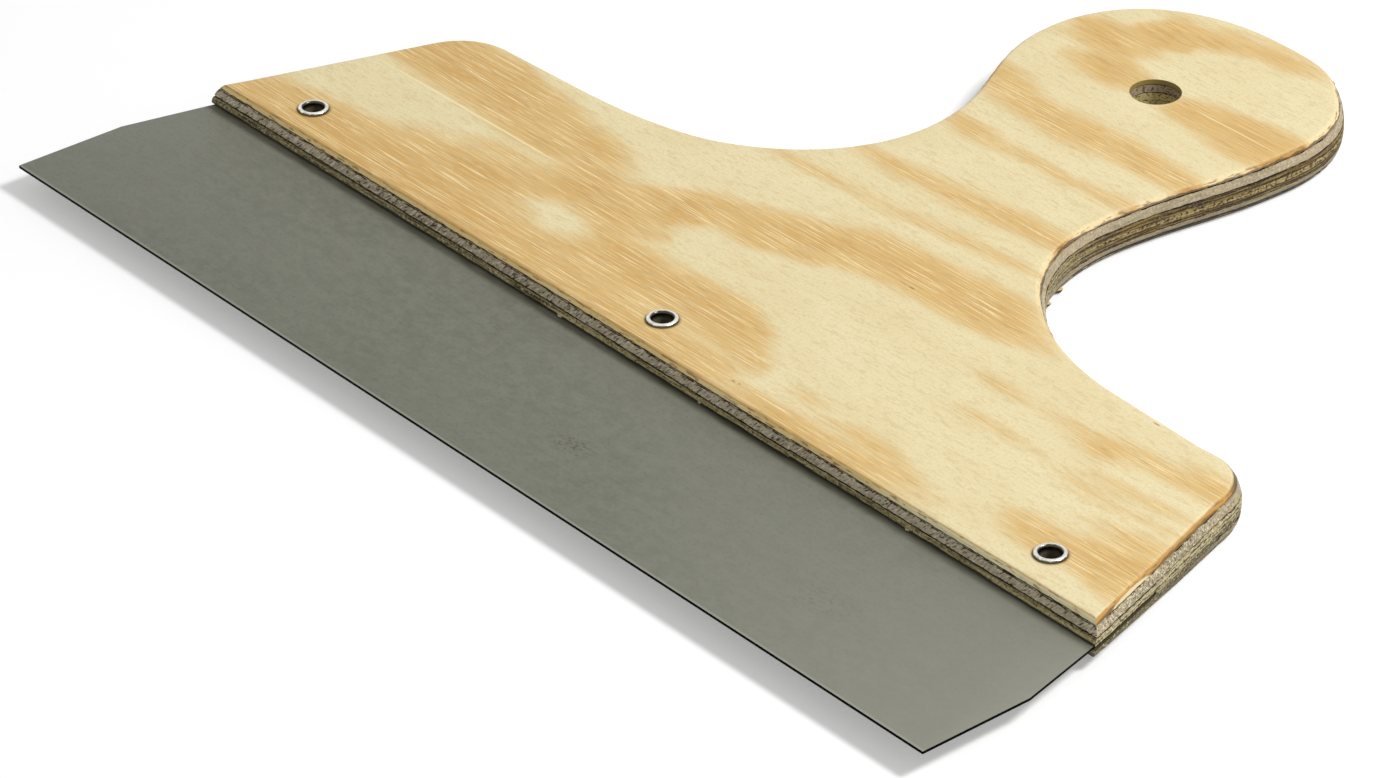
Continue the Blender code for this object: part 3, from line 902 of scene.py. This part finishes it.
def veneer_cut(point, z):
    """Sanded round towards the face, torn a little, and broken out in a few places."""
    cut = torn(point, z, "X", VENEER_TEAR)
    high = abs(z - MID_Z) - (MID_Z - FACE_ROUND)
    if high > 0:
        cut += FACE_ROUND - math.sqrt(max(0.0, FACE_ROUND ** 2 - high ** 2))
    if z < MID_Z:
        for x, y, reach, length in SPLINTERS:
            away = math.hypot(point.x - x, point.y - y) / reach
            cut -= length * max(0.0, 1 - away)
    else:
        for x, y, reach, depth in VENEER_CHIPS:
            away = math.hypot(point.x - x, point.y - y) / reach
            if away < 1:
                slope = min(1.0, max(0.0, (z - VENEER_LOW) / (BOARD_THICKNESS - VENEER_LOW)))
                ragged = BREAK_MEAN + BREAK_VARIES * noise.noise(Vector((point.x, point.y, 2.0)))
                cut += depth * slope * (1 - away ** 2) * ragged
    return cut


round_heights = [MID_Z - FACE_ROUND * (1 - math.sin(math.pi / 2 * step / FACE_ROUND_STEPS))
                 for step in range(FACE_ROUND_STEPS + 1)]
upper_heights = [VENEER_LOW, VENEER_LOW + ARRIS_HEIGHT, *(MID_Z + height for height in round_heights)]
lower_heights = [BOARD_THICKNESS - height for height in reversed(upper_heights)]
CLINCH_RECESS_RADIUS = 3.15
# The lower veneer's edge gets painted shade and the upper's none
for node, heights, rivet_hole, wood in (
    ("bottom_face_veneer", lower_heights, CLINCH_RECESS_RADIUS,
     veneer_wood("lower_pine_face", LOWER_LATE_WOOD, LOWER_EARLY_WOOD,
                 LOWER_BRIGHT_LINES, LOWER_DARK_MARKS, 0.95)),
    ("top_face_veneer", upper_heights, RIVET_HOLE_RADIUS,
     veneer_wood("upper_pine_face", UPPER_LATE_WOOD, UPPER_EARLY_WOOD,
                 UPPER_BRIGHT_LINES, UPPER_DARK_MARKS, 0.0)),
):
    veneer = add_piece(node + "_sheet", ply_mesh(heights, veneer_cut, rivet_hole), wood)
    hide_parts(node)


# Glue films
# Dark resin between the plies, squeezed to thin films and left a little short of the rounded edge.
GLUE_RECESS = 0.3
GLUE_RUN = 2.4
GLUE_LEAST = 0.1
GLUE_MEAN = 0.65
GLUE_VARIES = 1.4


def glue_resin():
    """Brown-black cured resin, broken up by wood fibres that the sander dragged over it."""
    made, tree, shader = new_material("glue_resin", 0.85)
    shader.inputs["Specular IOR Level"].default_value = 0.1
    place, *_ = object_place(tree)
    stains = grain_noise(tree, place, (5.0, 5.0, 0.6))
    dragged = grain_noise(tree, place, (0.9, 1.6, 0.6))
    resin = blend(tree, fade(tree, stains, 0.35, 0.65), linear(20, 15, 10), linear(54, 40, 24))
    resin = tint(tree, resin, (140, 116, 72), fade(tree, dragged, 0.52, 0.62))
    set_surface(tree, shader, resin, dragged, 0.1, 0.5)
    return made


GLUE_RESIN = glue_resin()


def glue_cut(point, z):
    """How far the resin stops short of the edge: flush in some places and deep in others."""
    patchy = noise.noise(Vector((point.x / GLUE_RUN, point.y / GLUE_RUN, z)))
    return GLUE_RECESS * max(GLUE_LEAST, GLUE_MEAN + GLUE_VARIES * patchy)


def glue_film(low, high, front_y):
    """Thin sheet inside the outline, cut away in front of front_y."""
    bm = bmesh.new()
    rim, _ = outline_sheet(bm, RIVET_HOLE_RADIUS + GLUE_RECESS, HANG_HOLE_RADIUS + GLUE_RECESS)
    place_rim(bm.verts, rim, low, glue_cut)
    bmesh.ops.bisect_plane(bm, geom=bm.verts[:] + bm.edges[:] + bm.faces[:], dist=0.0001,
                           plane_co=(0.0, front_y, 0.0), plane_no=(0.0, -1.0, 0.0), clear_outer=True)
    _, verts = raise_sheet(bm, bm.faces[:])
    bmesh.ops.translate(bm, verts=verts, vec=(0.0, 0.0, high - low))
    bmesh.ops.recalc_face_normals(bm, faces=bm.faces)
    return bm


# Name, middle height, thickness and front of each film; the middle one starts behind the kerf
UNCUT_Y = FRONT_Y - 1
GLUE_LINES = (
    ("lower_face", BOARD_THICKNESS - CROSSBAND_HIGH, FACE_GLUE_OPENING, UNCUT_Y),
    ("lower_core", BOARD_THICKNESS - CORE_TOP, GLUE_OPENING, UNCUT_Y),
    ("middle", MID_Z, MIDDLE_GLUE, KERF_BACK_Y),
    ("upper_core", CORE_TOP, GLUE_OPENING, UNCUT_Y),
    ("upper_face", CROSSBAND_HIGH, FACE_GLUE_OPENING, UNCUT_Y),
)
for name, middle, opening, front_y in GLUE_LINES:
    sheet = glue_film(middle - opening / 2, middle + opening / 2, front_y)
    film = add_piece("glue_film_" + name, sheet, GLUE_RESIN)


# Blade
# One sheet of cold-rolled spring steel, cropped to shape, with its tang pushed into the kerf and
# three punched holes for the rivets.
BLADE_HALF_WIDTH = 125.0
BLADE_FRONT_Y = FRONT_Y - 41.9
BLADE_KINK_Y = BLADE_FRONT_Y + 23.5
BLADE_THICKNESS = 0.6
TANG_DEPTH = 18.8
TANG_HALF_WIDTH = FRONT_HALF_WIDTH - 0.9
TANG_END_HALF_WIDTH = TANG_HALF_WIDTH - 5.8
BLADE_ARRIS = 0.06
# How far the free part has sprung up at its working edge
SPRING_RISE = 0.3


def blade_mesh():
    """Flat sheet with its rivet holes, thickened and eased; its free part springs up a little."""
    bm = bmesh.new()
    right = (
        (BLADE_HALF_WIDTH, BLADE_FRONT_Y),
        (BLADE_HALF_WIDTH, BLADE_KINK_Y),
        (TANG_HALF_WIDTH, FRONT_Y),
        (TANG_END_HALF_WIDTH, FRONT_Y + TANG_DEPTH),
    )
    left = [(-x, y) for x, y in reversed(right)]
    low = MID_Z - BLADE_THICKNESS / 2
    ring = [bm.verts.new((x, y, low)) for x, y in (*right, *left)]
    edges = [bm.edges.new((ring[index - 1], vert)) for index, vert in enumerate(ring)]
    for centre in RIVET_PLACES.values():
        spot = Matrix.Translation((*centre, low))
        made = bmesh.ops.create_circle(bm, segments=RIVET_HOLE_STEPS, radius=RIVET_HOLE_RADIUS,
                                       matrix=spot)
        edges += {edge for vert in made["verts"] for edge in vert.link_edges}
    bmesh.ops.triangle_fill(bm, use_beauty=True, edges=edges, normal=(0.0, 0.0, 1.0))
    bmesh.ops.bisect_plane(bm, geom=bm.verts[:] + bm.edges[:] + bm.faces[:], dist=0.0001,
                           plane_co=(0.0, FRONT_Y, 0.0), plane_no=(0.0, -1.0, 0.0))
    _, verts = raise_sheet(bm, bm.faces[:])
    bmesh.ops.translate(bm, verts=verts, vec=(0.0, 0.0, BLADE_THICKNESS))
    bmesh.ops.recalc_face_normals(bm, faces=bm.faces)
    sharp = [edge for edge in bm.edges if edge.calc_face_angle() > math.radians(60)]
    bmesh.ops.bevel(bm, geom=sharp, offset=BLADE_ARRIS, affect="EDGES", segments=2, profile=0.5,
                    material=-1)
    for vert in bm.verts:
        vert.co.z += SPRING_RISE * max(0.0, (FRONT_Y - vert.co.y) / (FRONT_Y - BLADE_FRONT_Y))
    return bm


# Smudges of small dark marks on the upper side: x, y, half length, half width and strength
SMUDGES = (
    (18, -88.8, 7, 4, 0.7),
    (7.8, -71.1, 1.6, 0.8, 0.8),
    (81.5, -88.1, 12, 6, 0.2),
    (-20.5, -73.8, 5, 2, 0.4),
    (-118.5, -64.6, 3, 2, 0.6),
)
# Where a look sets in and is full: x less a share of y, x, and y at the lip and at the working edge
# Painted light towards the right and the front right corner
PAINTED_LIGHT_END = (60.0, 260.0)
PAINTED_LIGHT_SLANT = -0.7
# Painted shade and reflection of the board along the lip, thinner towards the right
LIP_SHADE_THINS = (30.0, 100.0)
LIP_SHADE_BAND = (FRONT_Y - 2.4, FRONT_Y - 0.8)
# Painted highlight along the working edge
EDGE_HIGHLIGHT = (BLADE_FRONT_Y + 0.65, BLADE_FRONT_Y + 0.35)


def rolled_steel():
    """Dull grey steel with rolling lines along the blade and faint mottling, painted brighter to the right
    as painted light, with a painted highlight along the working edge, painted shade along the lip, and
    dark sheared edges that are partly painted shade.
    """
    made, tree, shader = new_material("rolled_steel", 0.55, metallic=0.35)
    place, along, across, _ = object_place(tree)
    rolling = grain_noise(tree, place, (60.0, 0.35, 10.0), detail=3.0)
    mottle = grain_noise(tree, place, (3.0, 2.2, 3.0), detail=4.0, roughness=0.7)
    grain = grain_noise(tree, place, (0.8, 0.6, 0.8))
    clouds = grain_noise(tree, place, (45.0, 30.0, 30.0))
    steel = blend(tree, fade(tree, mottle, 0.3, 0.7), linear(110, 111, 98), linear(125, 126, 113))
    steel = tint(tree, steel, (125, 126, 113), fade(tree, clouds, 0.35, 0.65), 0.5)
    steel = tint(tree, steel, (132, 133, 120), fade(tree, rolling, 0.3, 0.7), 0.2)
    steel = tint(tree, steel, (100, 100, 89), fade(tree, grain, 0.5, 0.3), 0.35)
    # Painted light: the steel is painted brighter towards the right
    painted_light_reach = scaled(tree, across, PAINTED_LIGHT_SLANT, along)
    steel = tint(tree, steel, (142, 143, 130), fade_mm(tree, painted_light_reach, *PAINTED_LIGHT_END))
    # Painted shade and reflection of the board on the blade along the lip, thinning to the right
    blotches = grain_noise(tree, place, (5.0, 1.2, 1.0))
    lip_shade = multiply(tree, fade_mm(tree, across, *LIP_SHADE_BAND), scaled(tree, blotches, 0.5, 0.45))
    lip_shade_share = scaled(tree, fade_mm(tree, along, *LIP_SHADE_THINS), -0.3, 1.0)
    steel = tint(tree, steel, (44, 38, 22), lip_shade, lip_shade_share)
    dots = fade(tree, grain_noise(tree, place, (0.9, 0.5, 0.9), roughness=0.6), 0.52, 0.6)
    for x, y, half_length, half_width, share in SMUDGES:
        away = oval_reach(tree, place, (x, y, MID_Z), (half_length, half_width, THROUGH))
        marked = multiply(tree, fade(tree, away, 1.0, 0.2), dots)
        steel = tint(tree, steel, (84, 84, 74), marked, share)
    # Painted highlight: a light strip along the working edge
    steel = tint(tree, steel, (158, 158, 146), fade_mm(tree, across, *EDGE_HIGHLIGHT), 0.6)
    # Sheared edges: rough darker steel, with painted shade and dark reflection making them near black
    sheared_and_shaded = fade(tree, facing_up(tree), 0.6, 0.3)
    steel = tint(tree, steel, (6, 6, 5), sheared_and_shaded)
    tree.links.new(scaled(tree, sheared_and_shaded, -0.3, 0.3), shader.inputs["Specular IOR Level"])
    tree.links.new(scaled(tree, mottle, 0.12, 0.5), shader.inputs["Roughness"])
    set_surface(tree, shader, steel, rolling, 0.01, 0.25)
    return made


blade = add_piece("steel_blade", blade_mesh(), rolled_steel())
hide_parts("blade")


# Rivets
# Three hollow rivets of thin nickel-plated steel. Each has a rolled rim on the face, a tube through
# board and blade, and a clinch rolled over in a recess in the underside.
RIVET_BORE_RADIUS = 1.95
RIVET_TUBE_RADIUS = 2.3
RIM_RADIUS = 3.02
RIM_SEAT = BOARD_THICKNESS + 0.06
RIM_HEIGHT = 0.56
CLINCH_RADIUS = 2.95
CLINCH_SEAT = 0.5
CLINCH_HEIGHT = 0.38
RIM_STEPS = 12
RIVET_STEPS = 96


def rolled_rim(outer_radius, seat, height):
    """Half round of a rolled rim, from the bore over its crown to the outer edge."""
    middle = (RIVET_BORE_RADIUS + outer_radius) / 2
    reach = (outer_radius - RIVET_BORE_RADIUS) / 2
    points = []
    for step in range(RIM_STEPS + 1):
        angle = math.pi * (1 - step / RIM_STEPS)
        points.append((middle + reach * math.cos(angle), seat + height * math.sin(angle)))
    return points


def rivet_mesh(place):
    profile = rolled_rim(RIM_RADIUS, RIM_SEAT, RIM_HEIGHT)
    profile.append((RIVET_TUBE_RADIUS, RIM_SEAT))
    profile.append((RIVET_TUBE_RADIUS, CLINCH_SEAT))
    profile += reversed(rolled_rim(CLINCH_RADIUS, CLINCH_SEAT, -CLINCH_HEIGHT))
    bm = bmesh.new()
    verts = [bm.verts.new((radius, 0.0, z)) for radius, z in profile]
    edges = [bm.edges.new((verts[index - 1], vert)) for index, vert in enumerate(verts)]
    bmesh.ops.spin(bm, geom=verts + edges, cent=(0.0, 0.0, 0.0), axis=(0.0, 0.0, 1.0),
                   angle=2 * math.pi, steps=RIVET_STEPS, use_merge=True)
    bmesh.ops.recalc_face_normals(bm, faces=bm.faces)
    bmesh.ops.translate(bm, verts=bm.verts, vec=(*place, 0.0))
    return bm


# Where a look sets in and is full: distances from the rivet's axis, and heights
# Painted reflection on the rim's inner lip and painted shade at its foot
INNER_LIP_SHADE = (2.4, 2.15)
RIM_FOOT_SHADE = (2.8, 2.96)
RIM_SHADE_WANDER = 0.3
DUSTY_BORE = (9.0, 8.0)


def nickel_plate():
    """Bright plating on the rim's crown, with a painted dark reflection on its inner lip and painted shade
    at its foot on the wood, and dusty in the bore.
    """
    made, tree, shader = new_material("nickel_plate", 0.22, metallic=1.0)
    place, _, _, height = object_place(tree)
    scuffs = grain_noise(tree, place, (0.7, 0.7, 0.7), detail=3.0)
    reach = None
    for centre in RIVET_PLACES.values():
        away = from_axis(tree, place, centre)
        reach = away if reach is None else calc(tree, "MINIMUM", reach, away)
    reach = scaled(tree, calc(tree, "SUBTRACT", scuffs, 0.5), RIM_SHADE_WANDER * MM, reach)
    plate = blend(tree, fade(tree, scuffs, 0.4, 0.7), linear(232, 230, 224), linear(206, 203, 194))
    # Painted reflection: the inner lip is darkened as the dark bore it faces
    plate = tint(tree, plate, (74, 69, 58), fade_mm(tree, reach, *INNER_LIP_SHADE))
    # Painted shade at the rim's outer foot, where it meets the wood
    plate = tint(tree, plate, (92, 84, 66), fade_mm(tree, reach, *RIM_FOOT_SHADE))
    deep = fade_mm(tree, height, *DUSTY_BORE)
    plate = tint(tree, plate, (112, 103, 80), deep)
    tree.links.new(scaled(tree, deep, -0.9, 1.0), shader.inputs["Metallic"])
    tree.links.new(scaled(tree, scuffs, 0.2, 0.16), shader.inputs["Roughness"])
    set_surface(tree, shader, plate, scuffs, 0.03, 0.3)
    return made


NICKEL_PLATE = nickel_plate()
for side, place in RIVET_PLACES.items():
    rivet = add_piece("hollow_rivet_" + side, rivet_mesh(place), NICKEL_PLATE, smooth_angle=60.0)
    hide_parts("rivet_" + side)


# Studio
# White table, white surroundings, one wide lamp above and behind on the right, and the camera at the
# photograph's place.
FLOOR_HALF_SIZE = 4.0
FLOOR_GLOW = 0.3
SKY_LIGHT = 0.37
KEY_POWER = 12.9
KEY_SIZE = 0.3
KEY_PLACE = Vector((0.62, 0.47, 1.04))
CAMERA_PLACE = Vector((0.6877, -0.63335, 0.5472))
CAMERA_TILT = 90.0 - 31.594
CAMERA_TURN = 49.428
CAMERA_LENS = 151.9
CAMERA_SENSOR = 36.0
TABLE_COLOUR = (0.8, 0.8, 0.8, 1.0)
WHITE = (1.0, 1.0, 1.0, 1.0)


def seen_directly(tree):
    """1 for light that shows the ground to the camera, straight or by way of metal or glass."""
    path = add_node(tree, "LightPath", {}).outputs
    seen = calc(tree, "MAXIMUM", path["Is Camera Ray"], path["Is Glossy Ray"])
    return calc(tree, "MAXIMUM", seen, path["Is Transmission Ray"])


bm = bmesh.new()
bmesh.ops.create_grid(bm, x_segments=1, y_segments=1, size=FLOOR_HALF_SIZE)
floor_mesh = bpy.data.meshes.new("floor")
bm.to_mesh(floor_mesh)
bm.free()
floor = add_object("floor", floor_mesh)
white, tree, shader = new_material("white_table", 0.9)
shader.inputs["Base Color"].default_value = TABLE_COLOUR
shader.inputs["Emission Color"].default_value = WHITE
glow = multiply(tree, seen_directly(tree), FLOOR_GLOW)
tree.links.new(glow, shader.inputs["Emission Strength"])
floor_mesh.materials.append(white)

world = bpy.data.worlds.new("white_room")
bpy.context.scene.world = world
world.use_nodes = True
tree = world.node_tree
strength = scaled(tree, seen_directly(tree), 1.0 - SKY_LIGHT, SKY_LIGHT)
tree.links.new(strength, tree.nodes["Background"].inputs["Strength"])
tree.nodes["Background"].inputs["Color"].default_value = WHITE

key_light = bpy.data.lights.new("key_light", "AREA")
key_light.energy = KEY_POWER
key_light.size = KEY_SIZE
key = add_object("key_light", key_light)
key.location = KEY_PLACE
key.rotation_euler = KEY_PLACE.to_track_quat("Z", "Y").to_euler()

lens = bpy.data.cameras.new("camera")
lens.lens = CAMERA_LENS
lens.sensor_width = CAMERA_SENSOR
camera = add_object("camera", lens)
camera.location = CAMERA_PLACE
camera.rotation_euler = (math.radians(CAMERA_TILT), 0.0, math.radians(CAMERA_TURN))
bpy.context.scene.camera = camera
bpy.context.scene.view_settings.view_transform = "Standard"
